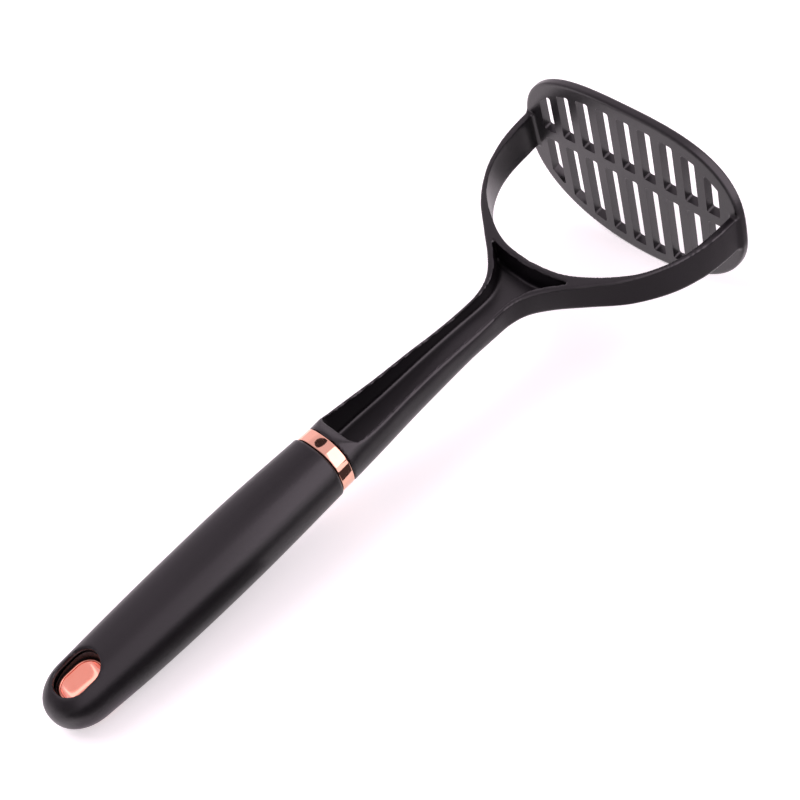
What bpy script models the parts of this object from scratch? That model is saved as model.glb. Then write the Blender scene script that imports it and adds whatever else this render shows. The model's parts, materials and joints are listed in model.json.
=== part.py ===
"""Potato masher: one-piece nylon head, rose-gold collar, handle core, soft grip and hanging-hole liner.

Tool frame: x runs from the hanging end (0) to the mashing plate, y along the plate's long side,
z along its short side. The tool axis empty then lays the tool down on its plate and its grip.
"""
import math

import bmesh
import bpy
from mathutils import Matrix, Vector

MM = 0.001
GAP = 0.3 * MM                      # clearance between pieces that touch

# mashing plate
PLATE_X = 280.0 * MM                # handle-side face of the plate
PLATE_THICKNESS = 3.6 * MM
PLATE_HALF_LENGTH = 51.0 * MM
PLATE_TOP_HEIGHT = 37.5 * MM
PLATE_BOTTOM_HEIGHT = 36.8 * MM
PLATE_CENTRE_Z = -4.5 * MM          # the plate sits a little below the tool axis
PLATE_TOP_POWER = 2.95              # superellipse powers: flatter top, rounder bottom
PLATE_BOTTOM_POWER = 2.15
SLOT_COLUMNS = 9
SLOT_PITCH = 9.7 * MM
SLOT_WIDTH = 5.9 * MM
RIB_HALF_HEIGHT = 2.4 * MM          # bar between the two slot rows
SLOT_CORNER = 0.9 * MM
SLOT_FIELD_HALF_LENGTH = 46.5 * MM  # the slots end on this inner outline
SLOT_FIELD_TOP = 32.3 * MM
SLOT_FIELD_BOTTOM = 31.6 * MM

# hoop and stem
SHOULDER_X = 125.9 * MM             # where the head leaves the collar
TANG_START_X = 78.0 * MM
TANG_HALF_WIDTH = 5.5 * MM
TANG_HALF_HEIGHT = 4.5 * MM
TROUGH_START_X = 130.5 * MM
TROUGH_WALL = 1.4 * MM

# handle
COLLAR_START_X = 120.2 * MM
COLLAR_END_X = 125.6 * MM
COLLAR_HALF_WIDTH = 10.6 * MM
COLLAR_HALF_HEIGHT = 10.9 * MM
SPIGOT_HALF = 9.0 * MM              # core end that carries the collar
HANDLE_POWER = 2.6
GRIP_WALL = 2.0 * MM
GRIP_END_ROUND = 14.0 * MM
END_POWER = 2.2                     # superellipse power of the grip's rounded end, seen from above
GRIP_FRONT_ROUND_START = 118.4 * MM
GRIP_FRONT_ROUND_LENGTH = 1.5 * MM
GRIP_FRONT_ROUND_DEPTH = 0.8 * MM
HOLE_CENTRE_X = 14.8 * MM
HOLE_HALF_LENGTH = 8.6 * MM
HOLE_HALF_WIDTH = 6.4 * MM
HOLE_CUT_REACH = 20 * MM            # far enough to pass right through the grip
LINER_WALL = 1.0 * MM
LINER_TOP = 3.4 * MM
LINER_BOTTOM = -9.5 * MM

RING_POINTS = 32


def clear_scene():
    for old in list(bpy.data.objects):
        bpy.data.objects.remove(old, do_unlink=True)


def make_collection(name):
    collection = bpy.data.collections.new(name)
    bpy.context.scene.collection.children.link(collection)
    return collection


def smooth_value(stations, x):
    """Smooth cubic through (x, value) stations, level beyond both ends."""
    if x <= stations[0][0]:
        return stations[0][1]
    if x >= stations[-1][0]:
        return stations[-1][1]
    slopes = []
    for i in range(len(stations)):
        before = stations[max(i - 1, 0)]
        after = stations[min(i + 1, len(stations) - 1)]
        slopes.append((after[1] - before[1]) / (after[0] - before[0]))
    for i in range(len(stations) - 1):
        (x0, v0), (x1, v1) = stations[i], stations[i + 1]
        if x <= x1:
            span = x1 - x0
            t = (x - x0) / span
            h00 = 2 * t ** 3 - 3 * t ** 2 + 1
            h10 = t ** 3 - 2 * t ** 2 + t
            h01 = -2 * t ** 3 + 3 * t ** 2
            h11 = t ** 3 - t ** 2
            return h00 * v0 + h10 * span * slopes[i] + h01 * v1 + h11 * span * slopes[i + 1]
    return stations[-1][1]


def smooth_path(points, steps):
    """Catmull-Rom curve through a few 2D points."""
    path = []
    for i in range(len(points) - 1):
        p0 = Vector(points[max(i - 1, 0)])
        p1 = Vector(points[i])
        p2 = Vector(points[i + 1])
        p3 = Vector(points[min(i + 2, len(points) - 1)])
        for s in range(steps):
            t = s / steps
            path.append(0.5 * (2 * p1 + (p2 - p0) * t + (2 * p0 - 5 * p1 + 4 * p2 - p3) * t ** 2
                               + (3 * p1 - p0 - 3 * p2 + p3) * t ** 3))
    path.append(Vector(points[-1]))
    return path


def superellipse(half_width, half_height, power, count, lower_power=None):
    """Closed ring; its lower half can be rounder or squarer than its upper half."""
    ring = []
    for i in range(count):
        angle = 2 * math.pi * i / count
        c, s = math.cos(angle), math.sin(angle)
        bulge = lower_power if lower_power and s < 0 else power
        ring.append(Vector((half_width * math.copysign(abs(c) ** (2 / bulge), c),
                            half_height * math.copysign(abs(s) ** (2 / bulge), s))))
    return ring


def round_corners(corners, radius, steps=3):
    """Polygon with each corner turned into a short arc-like curve."""
    outline = []
    count = len(corners)
    for i, corner in enumerate(corners):
        to_before = (corners[i - 1] - corner)
        to_after = (corners[(i + 1) % count] - corner)
        reach = min(radius, 0.45 * to_before.length, 0.45 * to_after.length)
        start = corner + to_before.normalized() * reach
        end = corner + to_after.normalized() * reach
        for s in range(steps + 1):
            t = s / steps
            outline.append((1 - t) ** 2 * start + 2 * t * (1 - t) * corner + t ** 2 * end)
    return outline


def link_mesh(name, mesh, collection, parent):
    piece = bpy.data.objects.new(name, mesh)
    collection.objects.link(piece)
    piece.parent = parent
    return piece


def hide_guide(guide):
    guide.hide_render = True
    guide.display_type = 'WIRE'


def flat_prism(name, outlines, thickness, placing, collection, parent):
    """Closed slab from 2D outlines (the first is the border, the others are holes)."""
    curve = bpy.data.curves.new(name + "_outline", 'CURVE')
    curve.dimensions = '2D'
    curve.fill_mode = 'BOTH'
    curve.extrude = thickness / 2
    for outline in outlines:
        spline = curve.splines.new('POLY')
        spline.points.add(len(outline) - 1)
        for point, place in zip(spline.points, outline):
            point.co = (place[0], place[1], 0, 1)
        spline.use_cyclic_u = True
    holder = bpy.data.objects.new(name + "_outline", curve)
    bpy.context.scene.collection.objects.link(holder)
    bpy.context.view_layer.update()
    evaluated = holder.evaluated_get(bpy.context.evaluated_depsgraph_get())
    mesh = bpy.data.meshes.new_from_object(evaluated)
    bpy.data.objects.remove(holder, do_unlink=True)
    bpy.data.curves.remove(curve)
    body = bmesh.new()
    body.from_mesh(mesh)
    bmesh.ops.remove_doubles(body, verts=body.verts, dist=0.00001)
    bmesh.ops.transform(body, matrix=placing, verts=body.verts)
    bmesh.ops.recalc_face_normals(body, faces=body.faces)
    body.to_mesh(mesh)
    body.free()
    mesh.name = name
    return link_mesh(name, mesh, collection, parent)


def loft(name, rings, collection, parent):
    """Closed skin over rings of equal length, with flat ends."""
    body = bmesh.new()
    rows = [[body.verts.new(point) for point in ring] for ring in rings]
    count = len(rows[0])
    for a, b in zip(rows, rows[1:]):
        for i in range(count):
            body.faces.new((a[i], a[(i + 1) % count], b[(i + 1) % count], b[i]))
    body.faces.new(rows[0])
    body.faces.new(rows[-1])
    bmesh.ops.recalc_face_normals(body, faces=body.faces)
    mesh = bpy.data.meshes.new(name)
    body.to_mesh(mesh)
    body.free()
    return link_mesh(name, mesh, collection, parent)


def combine(piece, other, operation):
    step = piece.modifiers.new(operation.lower() + "_" + other.name, 'BOOLEAN')
    step.object = other
    step.operation = operation
    step.solver = 'EXACT'


def give_material(piece, name, colour, roughness, metallic):
    material = bpy.data.materials.get(name)
    if material is None:
        material = bpy.data.materials.new(name)
        material.use_nodes = True
        shader = material.node_tree.nodes["Principled BSDF"]
        shader.inputs["Base Color"].default_value = (*colour, 1)
        shader.inputs["Roughness"].default_value = roughness
        shader.inputs["Metallic"].default_value = metallic
    piece.data.materials.clear()
    piece.data.materials.append(material)


def shade_round(piece, angle=math.radians(35)):
    piece.data.shade_smooth()
    piece.data.set_sharp_from_angle(angle=angle)


# ---- planes that the flat outlines lie in
def plan_plane(z_middle):
    return Matrix.Translation((0, 0, z_middle))


def side_plane():
    return Matrix(((1, 0, 0, 0), (0, 0, -1, 0), (0, 1, 0, 0), (0, 0, 0, 1)))


def plate_plane(x_middle):
    return Matrix(((0, 0, 1, x_middle), (1, 0, 0, 0), (0, 1, 0, 0), (0, 0, 0, 1)))


# ---- mashing plate
def plate_border(count=96):
    border = []
    for i in range(count):
        angle = 2 * math.pi * i / count
        c, s = math.cos(angle), math.sin(angle)
        power = PLATE_TOP_POWER if s > 0 else PLATE_BOTTOM_POWER
        height = PLATE_TOP_HEIGHT if s > 0 else PLATE_BOTTOM_HEIGHT
        border.append(Vector((PLATE_HALF_LENGTH * math.copysign(abs(c) ** (2 / power), c),
                              PLATE_CENTRE_Z + height * math.copysign(abs(s) ** (2 / power), s))))
    return border


def slot_field_edge(y, upper):
    """Height of the inner outline, where the slots end, at a place along the plate."""
    power = PLATE_TOP_POWER if upper else PLATE_BOTTOM_POWER
    reach = SLOT_FIELD_TOP if upper else -SLOT_FIELD_BOTTOM
    across = min(abs(y) / SLOT_FIELD_HALF_LENGTH, 0.995)
    return PLATE_CENTRE_Z + reach * (1 - across ** power) ** (1 / power)


def slot_outline(column, upper):
    middle = (column - (SLOT_COLUMNS - 1) / 2) * SLOT_PITCH
    left, right = middle - SLOT_WIDTH / 2, middle + SLOT_WIDTH / 2
    rib = RIB_HALF_HEIGHT if upper else -RIB_HALF_HEIGHT
    corners = [Vector((left, rib)), Vector((right, rib)),
               Vector((right, slot_field_edge(right, upper))), Vector((left, slot_field_edge(left, upper)))]
    return round_corners(corners, SLOT_CORNER)


def make_plate(collection, parent):
    outlines = [plate_border()]
    for column in range(SLOT_COLUMNS):
        for upper in (True, False):
            outlines.append(slot_outline(column, upper))
    plane = plate_plane(PLATE_X + PLATE_THICKNESS / 2)
    return flat_prism("plate_slab", outlines, PLATE_THICKNESS, plane, collection, parent)


# ---- hoop and stem, seen from above: half outlines from the stem out to the plate
HOOP_OUTER = [(196, 6.5), (206, 6.9), (213, 9.3), (220, 15.2), (228, 24.3), (238, 35.2), (250, 43.4),
              (262, 47.8), (272, 49.4), (281, 49.8)]
HOOP_INNER = [(226.2, 0), (227.7, 12.5), (232.4, 23.3), (241, 34.9), (251, 42.0), (262, 45.6), (281, 47.2)]
POCKET_SIDE = [(190, 5.3), (204, 5.3), (211, 6.3), (217.5, 9.6), (222.5, 14.5), (226.0, 18.6)]
POCKET_FRONT = [(226.4, 18.6), (224.9, 10.5), (223.9, 0)]

# side view of the head: upper and lower lines of the moulding
TOP_LINE = [(126.5, 10.7), (130.5, 8.4), (135, 6.3), (150, 5.0), (170, 4.0), (186, 2.6), (200, 2.0),
            (212, 2.7), (226, 4.0), (250, 5.6), (281, 7.0)]
BOTTOM_LINE = [(198, -8.1), (212, -7.8), (226, -7.9), (240, -8.7), (262, -9.3), (281, -8.9)]
FLOOR_LINE = [(129, -5.3), (140, -4.6), (152, -3.8), (166, -2.9), (180, -2.4), (192, -2.5), (205, -3.3),
              (214, -5.2), (227, -6.2)]


def in_metres(points):
    return [(a * MM, b * MM) for a, b in points]


def mirrored(path):
    return [Vector((p.x, -p.y)) for p in reversed(path)]


def side_band(name, low, high, collection, parent):
    """Guide prism between two side-view lines, wide enough to hold the whole head."""
    lower = [Vector(p) for p in low]
    upper = [Vector(p) for p in reversed(high)]
    return flat_prism(name, [lower + upper], 130 * MM, side_plane(), collection, parent)


def make_hoop(collection, parent):
    outer = smooth_path(in_metres(HOOP_OUTER), 4)
    inner = smooth_path(in_metres(HOOP_INNER), 4)
    border = outer + list(reversed(inner)) + mirrored(list(reversed(inner)))[1:] + mirrored(outer)
    hoop = flat_prism("hoop_slab", [border], 40 * MM, plan_plane(0), collection, parent)
    low = [(190 * MM, -8.3 * MM)] + smooth_path(in_metres(BOTTOM_LINE), 3)
    high = [(190 * MM, 2.4 * MM)] + smooth_path(in_metres(TOP_LINE[6:]), 3)
    band = side_band("hoop_side_band", low, high, collection, parent)
    hide_guide(band)
    combine(hoop, band, 'INTERSECT')
    return hoop


STEM_WIDTH = [(125.9, 10.4), (142, 9.5), (156, 8.3), (170, 7.6), (185, 7.0), (200, 6.6)]
STEM_HEIGHT = [(125.9, 10.7), (142, 9.0), (156, 8.2), (170, 7.3), (185, 6.1), (200, 5.1)]
STEM_CENTRE = [(125.9, -0.1), (142, -1.0), (156, -1.5), (170, -1.9), (185, -2.5), (200, -3.0)]
STEM_UPPER_POWER = [(125.9, 2.7), (134, 4.0), (150, 5.0), (200, 6.0)]
STEM_LOWER_POWER = [(125.9, 2.7), (150, 2.8), (185, 3.2), (200, 4.0)]


def make_stem(collection, parent):
    rings = []
    stations = [125.9, 130, 135, 142, 149, 156, 163, 170, 178, 186, 194, 200]
    for x in stations:
        width = smooth_value(STEM_WIDTH, x) * MM
        height = smooth_value(STEM_HEIGHT, x) * MM
        centre = smooth_value(STEM_CENTRE, x) * MM
        section = superellipse(width, height, smooth_value(STEM_UPPER_POWER, x), RING_POINTS,
                               smooth_value(STEM_LOWER_POWER, x))
        rings.append([Vector((x * MM, p.x, p.y + centre)) for p in section])
    return loft("stem_body", rings, collection, parent)


def make_tang(collection, parent):
    section = superellipse(TANG_HALF_WIDTH, TANG_HALF_HEIGHT, 4, 24)
    stations = [(TANG_START_X, 0.8), (TANG_START_X + 1.5 * MM, 1.0), (SHOULDER_X + 2 * MM, 1.0)]
    rings = [[Vector((x, p.x * size, p.y * size)) for p in section] for x, size in stations]
    return loft("tang_body", rings, collection, parent)


def make_top_cut(collection, parent):
    """Everything above the stem's upper line, from the collar's end onwards."""
    line = [Vector(p) for p in smooth_path(in_metres(TOP_LINE[:8]), 3)]
    border = line + [Vector((line[-1].x, 16 * MM)), Vector((line[0].x, 16 * MM))]
    return flat_prism("stem_top_cut", [border], 60 * MM, side_plane(), collection, parent)


def make_trough(collection, parent):
    """Channel along the stem that opens into the pocket behind the hoop."""
    def inner_half(x):
        return smooth_value(STEM_WIDTH, x) * MM - TROUGH_WALL
    near = TROUGH_START_X / MM
    channel = [Vector((x * MM, inner_half(x))) for x in (near + 1.8, 142, 156, 170, 180)]
    side = [Vector((near * MM, inner_half(near) - 2.2 * MM))] + channel + smooth_path(in_metres(POCKET_SIDE), 3)
    front = smooth_path(in_metres(POCKET_FRONT), 3)
    half = side + front
    border = half + mirrored(half)[1:]
    trough = flat_prism("trough_cut", [border], 60 * MM, plan_plane(0), collection, parent)
    floor = [Vector(p) for p in smooth_path(in_metres(FLOOR_LINE), 3)]
    band_border = floor + [Vector((floor[-1].x, 20 * MM)), Vector((floor[0].x, 20 * MM))]
    band = flat_prism("trough_side_band", [band_border], 60 * MM, side_plane(), collection, parent)
    hide_guide(band)
    combine(trough, band, 'INTERSECT')
    return trough


def make_head(parts, cutters, parent):
    head = make_stem(parts, parent)
    head.name = "masher_head"
    head.data.name = "masher_head"
    steps = [(make_tang, 'UNION'), (make_top_cut, 'DIFFERENCE'), (make_hoop, 'UNION'), (make_plate, 'UNION'),
             (make_trough, 'DIFFERENCE')]
    for make_guide, operation in steps:
        guide = make_guide(cutters, parent)
        hide_guide(guide)
        combine(head, guide, operation)
    give_material(head, "black_nylon", (0.018, 0.016, 0.018), 0.42, 0)
    shade_round(head)
    return head


# ---- handle
GRIP_WIDTH = [(0, 10.3), (15, 10.7), (35, 11.5), (60, 12.0), (88, 12.0), (120, 11.1)]
GRIP_HEIGHT = [(0, 9.6), (15, 10.4), (35, 11.4), (60, 12.0), (88, 12.1), (120, 11.3)]
GRIP_CENTRE = [(0, -0.8), (15, -1.1), (35, -1.2), (60, -0.9), (90, -0.3), (120, 0.0)]
GRIP_STATIONS = [0.25, 1.0, 2.2, 4, 6.5, 9.5, 13, 18, 25, 33, 42, 55, 70, 85, 100, 112, 118.4, 119.4, 119.9]


def end_rounding(x, length):
    if x >= length:
        return 1.0
    return (1 - (1 - x / length) ** END_POWER) ** (1 / END_POWER)


def handle_ring(x, inset):
    """Cross-section of the handle at x, drawn in by inset."""
    size = end_rounding(x - inset, GRIP_END_ROUND)
    width = smooth_value(GRIP_WIDTH, x / MM) * MM * size - inset
    height = smooth_value(GRIP_HEIGHT, x / MM) * MM * size - inset
    centre = smooth_value(GRIP_CENTRE, x / MM) * MM
    section = superellipse(width, height, HANDLE_POWER, RING_POINTS)
    return [Vector((x, p.x, p.y + centre)) for p in section]


def grip_front_inset(x):
    """Small rounding of the sleeve's front edge."""
    return max(0.0, (x - GRIP_FRONT_ROUND_START) / GRIP_FRONT_ROUND_LENGTH) ** 2 * GRIP_FRONT_ROUND_DEPTH


def make_hanging_hole(name, half_length, half_width, z_low, z_high, collection, parent):
    straight = half_length - half_width
    border = []
    for side in (1, -1):
        for i in range(13):
            angle = math.radians(-90 + 15 * i) if side > 0 else math.radians(90 + 15 * i)
            border.append(Vector((HOLE_CENTRE_X + side * straight + half_width * math.cos(angle),
                                  half_width * math.sin(angle))))
    return flat_prism(name, [border], z_high - z_low, plan_plane((z_low + z_high) / 2), collection, parent)


def make_grip(parts, cutters, parent):
    stations = [x * MM for x in GRIP_STATIONS]
    grip = loft("grip_sleeve", [handle_ring(x, grip_front_inset(x)) for x in stations], parts, parent)
    cavity_start = GRIP_WALL + 1.0 * MM
    cavity_stations = [cavity_start] + [x for x in stations if x > cavity_start + 1 * MM] + [122 * MM]
    cavity = loft("grip_cavity", [handle_ring(x, GRIP_WALL) for x in cavity_stations], cutters, parent)
    hole = make_hanging_hole("grip_hole", HOLE_HALF_LENGTH, HOLE_HALF_WIDTH, -HOLE_CUT_REACH, HOLE_CUT_REACH,
                             cutters, parent)
    for guide in (cavity, hole):
        hide_guide(guide)
        combine(grip, guide, 'DIFFERENCE')
    give_material(grip, "soft_touch_black", (0.022, 0.019, 0.022), 0.55, 0)
    shade_round(grip)
    return grip


def make_core(parts, cutters, parent):
    inset = GRIP_WALL + GAP
    start = inset + 1.0 * MM
    stations = [start] + [x * MM for x in GRIP_STATIONS if start + 1 * MM < x * MM < 119 * MM] + [119.6 * MM]
    core = loft("handle_core", [handle_ring(x, inset) for x in stations], parts, parent)
    spigot_ring = superellipse(SPIGOT_HALF, SPIGOT_HALF, HANDLE_POWER, RING_POINTS)
    spigot_ends = (118 * MM, SHOULDER_X - GAP)
    spigot = loft("core_spigot", [[Vector((x, p.x, p.y)) for p in spigot_ring] for x in spigot_ends],
                  cutters, parent)
    socket_ring = superellipse(TANG_HALF_WIDTH + GAP, TANG_HALF_HEIGHT + GAP, 4, 24)
    socket_ends = (TANG_START_X - 1 * MM, 130 * MM)
    socket = loft("core_socket", [[Vector((x, p.x, p.y)) for p in socket_ring] for x in socket_ends],
                  cutters, parent)
    hole = make_hanging_hole("core_hole", HOLE_HALF_LENGTH, HOLE_HALF_WIDTH, -HOLE_CUT_REACH, HOLE_CUT_REACH,
                             cutters, parent)
    for guide, operation in ((spigot, 'UNION'), (socket, 'DIFFERENCE'), (hole, 'DIFFERENCE')):
        hide_guide(guide)
        combine(core, guide, operation)
    give_material(core, "handle_polypropylene", (0.03, 0.03, 0.03), 0.5, 0)
    shade_round(core)
    return core


def make_collar(parts, cutters, parent):
    edge = 0.35 * MM
    ends = [(COLLAR_START_X, edge), (COLLAR_START_X + edge, 0), (COLLAR_END_X - edge, 0), (COLLAR_END_X, edge)]
    rings = []
    for x, inset in ends:
        section = superellipse(COLLAR_HALF_WIDTH - inset, COLLAR_HALF_HEIGHT - inset, HANDLE_POWER, 48)
        rings.append([Vector((x, p.x, p.y)) for p in section])
    collar = loft("collar_ring", rings, parts, parent)
    bore_ring = superellipse(SPIGOT_HALF + GAP, SPIGOT_HALF + GAP, HANDLE_POWER, 48)
    bore = loft("collar_bore", [[Vector((x, p.x, p.y)) for p in bore_ring] for x in (110 * MM, 140 * MM)],
                cutters, parent)
    hide_guide(bore)
    combine(collar, bore, 'DIFFERENCE')
    give_material(collar, "rose_gold_plating", (0.86, 0.45, 0.34), 0.16, 1)
    shade_round(collar)
    return collar


def make_liner(parts, cutters, parent):
    liner = make_hanging_hole("hanging_liner", HOLE_HALF_LENGTH - GAP, HOLE_HALF_WIDTH - GAP, LINER_BOTTOM,
                              LINER_TOP, parts, parent)
    opening = make_hanging_hole("liner_opening", HOLE_HALF_LENGTH - GAP - LINER_WALL,
                                HOLE_HALF_WIDTH - GAP - LINER_WALL, -HOLE_CUT_REACH, HOLE_CUT_REACH,
                                cutters, parent)
    hide_guide(opening)
    combine(liner, opening, 'DIFFERENCE')
    give_material(liner, "rose_gold_plating", (0.86, 0.45, 0.34), 0.16, 1)
    shade_round(liner)
    return liner


# ---- lying pose
def tool_points(pieces):
    bpy.context.view_layer.update()
    graph = bpy.context.evaluated_depsgraph_get()
    points = []
    for piece in pieces:
        evaluated = piece.evaluated_get(graph)
        mesh = evaluated.to_mesh()
        points.extend(vertex.co.copy() for vertex in mesh.vertices)
        evaluated.to_mesh_clear()
    return points


def lay_down(tool_axis, pieces):
    """Tilt the tool until grip and plate both touch z = 0, and centre its box over the origin."""
    points = tool_points(pieces)
    halfway = PLATE_X / 2
    tilt = 0.0
    for _ in range(6):
        turn = Matrix.Rotation(-tilt, 4, 'Y')
        turned = [(turn @ p, p) for p in points]
        low_grip = min((t.z, p.x, p.z) for t, p in turned if p.x < halfway)
        low_plate = min((t.z, p.x, p.z) for t, p in turned if p.x >= halfway)
        tilt = math.atan2(low_grip[2] - low_plate[2], low_plate[1] - low_grip[1])
    turn = Matrix.Rotation(-tilt, 4, 'Y')
    placed = [turn @ p for p in points]
    x_low, x_high = min(p.x for p in placed), max(p.x for p in placed)
    tool_axis.rotation_euler = (0, -tilt, 0)
    tool_axis.location = (-(x_low + x_high) / 2, 0, -min(p.z for p in placed))


def build():
    clear_scene()
    parts = make_collection("potato_masher")
    cutters = make_collection("cutters")
    tool_axis = bpy.data.objects.new("tool_axis", None)
    tool_axis.empty_display_size = 0.03
    parts.objects.link(tool_axis)
    pieces = [maker(parts, cutters, tool_axis)
              for maker in (make_head, make_collar, make_core, make_grip, make_liner)]
    lay_down(tool_axis, pieces)


build()
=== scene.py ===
import json
import math

import bmesh
import bpy
import numpy as np
from mathutils import Matrix, Vector


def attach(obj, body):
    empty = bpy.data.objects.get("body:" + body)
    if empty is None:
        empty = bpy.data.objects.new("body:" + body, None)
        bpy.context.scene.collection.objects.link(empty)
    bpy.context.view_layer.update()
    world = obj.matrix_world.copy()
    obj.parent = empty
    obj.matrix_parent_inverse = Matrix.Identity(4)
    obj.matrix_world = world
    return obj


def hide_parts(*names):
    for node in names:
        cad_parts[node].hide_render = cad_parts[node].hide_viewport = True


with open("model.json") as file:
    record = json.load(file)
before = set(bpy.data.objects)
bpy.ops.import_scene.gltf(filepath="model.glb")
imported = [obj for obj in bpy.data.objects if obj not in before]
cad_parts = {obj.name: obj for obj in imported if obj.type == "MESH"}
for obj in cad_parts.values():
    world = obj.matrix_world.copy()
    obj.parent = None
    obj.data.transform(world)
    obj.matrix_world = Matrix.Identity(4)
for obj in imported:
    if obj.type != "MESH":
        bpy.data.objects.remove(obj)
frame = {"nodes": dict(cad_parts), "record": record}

bpy.context.view_layer.update()
print("frame loaded")
mm = 0.001

# The tool frame: x runs from the hanging end to the plate, y along the plate, z across it, in millimetres.
# The plate's food face says how the tool lies, and its length to that face is fixed.
foodFace = frame["record"]["mounts"][0]
lengthToFoodFace = 283.6
axisAlong = Vector(foodFace["axis"]).normalized()
axisUp = axisAlong.cross(Vector((0, 1, 0))).normalized()
if axisUp.z < 0:
    axisUp.negate()
toolOrigin = Vector(foodFace["pos_m"]) - axisAlong * lengthToFoodFace * mm
toolToWorld = Matrix((
    (axisAlong.x * mm, 0, axisUp.x * mm, toolOrigin.x),
    (axisAlong.y * mm, mm, axisUp.y * mm, toolOrigin.y),
    (axisAlong.z * mm, 0, axisUp.z * mm, toolOrigin.z),
    (0, 0, 0, 1)))


# Curves and fields.

def softCurve(points, steps=8):  # smooth plane curve through a few points
    path = []
    last = len(points) - 1
    for i in range(last):
        p0, p1, p2, p3 = (np.array(points[min(max(j, 0), last)], float) for j in (i - 1, i, i + 1, i + 2))
        for s in range(steps):
            t = s / steps
            path.append(0.5 * (2 * p1 + (p2 - p0) * t + (2 * p0 - 5 * p1 + 4 * p2 - p3) * t ** 2
                               + (3 * p1 - p0 - 3 * p2 + p3) * t ** 3))
    path.append(np.array(points[-1], float))
    return np.array(path)


def softLine(points):  # smooth height line, read at any x
    path = softCurve(points)
    return lambda x: np.interp(x, path[:, 0], path[:, 1])


def roundedBoth(a, b, radius):  # where two fields meet, the outer edge is rounded
    u, v = a + radius, b + radius
    return np.minimum(np.maximum(u, v), 0) + np.hypot(np.maximum(u, 0), np.maximum(v, 0)) - radius


def filletedEither(a, b, radius):  # two fields joined with a fillet
    return -roundedBoth(-a, -b, radius)


def carvedFrom(a, b, radius):  # field b taken out of field a
    return roundedBoth(a, -b, radius)


def bulgedSection(u, v, halfU, halfV, power):  # distance to a superellipse, close to its surface
    au, av = np.abs(u) / halfU + 1e-6, np.abs(v) / halfV + 1e-6
    level = (au ** power + av ** power) ** (1 / power)
    slope = np.hypot((au / level) ** (power - 1) / halfU, (av / level) ** (power - 1) / halfV)
    return (level - 1) / slope


def planField(outline, low, high, step=0.25):  # distance table of a half outline that is mirrored over y = 0
    xs = np.arange(low[0], high[0] + step, step)
    ys = np.arange(low[1], high[1] + step, step)
    gx, gy = np.meshgrid(xs, ys, indexing='ij')
    nearest = np.full(gx.shape, 1e9)
    inside = np.zeros(gx.shape, bool)
    closed = list(zip(outline[:-1], outline[1:])) + [(outline[-1], outline[0])]
    for i, (a, b) in enumerate(closed):
        along = b - a
        length = max(float(along @ along), 1e-12)
        if i < len(closed) - 1:
            t = np.clip(((gx - a[0]) * along[0] + (gy - a[1]) * along[1]) / length, 0, 1)
            nearest = np.minimum(nearest, np.hypot(gx - a[0] - t * along[0], gy - a[1] - t * along[1]))
        crosses = (a[1] > gy) != (b[1] > gy)
        rise = along[1] if abs(along[1]) > 1e-12 else 1e-12
        inside ^= crosses & (gx < a[0] + (gy - a[1]) * along[0] / rise)
    table = np.where(inside, -nearest, nearest)

    def readTable(x, y):
        i = np.clip((x - low[0]) / step, 0, len(xs) - 1.001)
        j = np.clip((np.abs(y) - low[1]) / step, 0, len(ys) - 1.001)
        i0, j0 = i.astype(int), j.astype(int)
        fi, fj = i - i0, j - j0
        near = table[i0, j0] * (1 - fi) + table[i0 + 1, j0] * fi
        far = table[i0, j0 + 1] * (1 - fi) + table[i0 + 1, j0 + 1] * fi
        return near * (1 - fj) + far * fj

    return readTable


# A closed, evenly meshed skin over a field.

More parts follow.
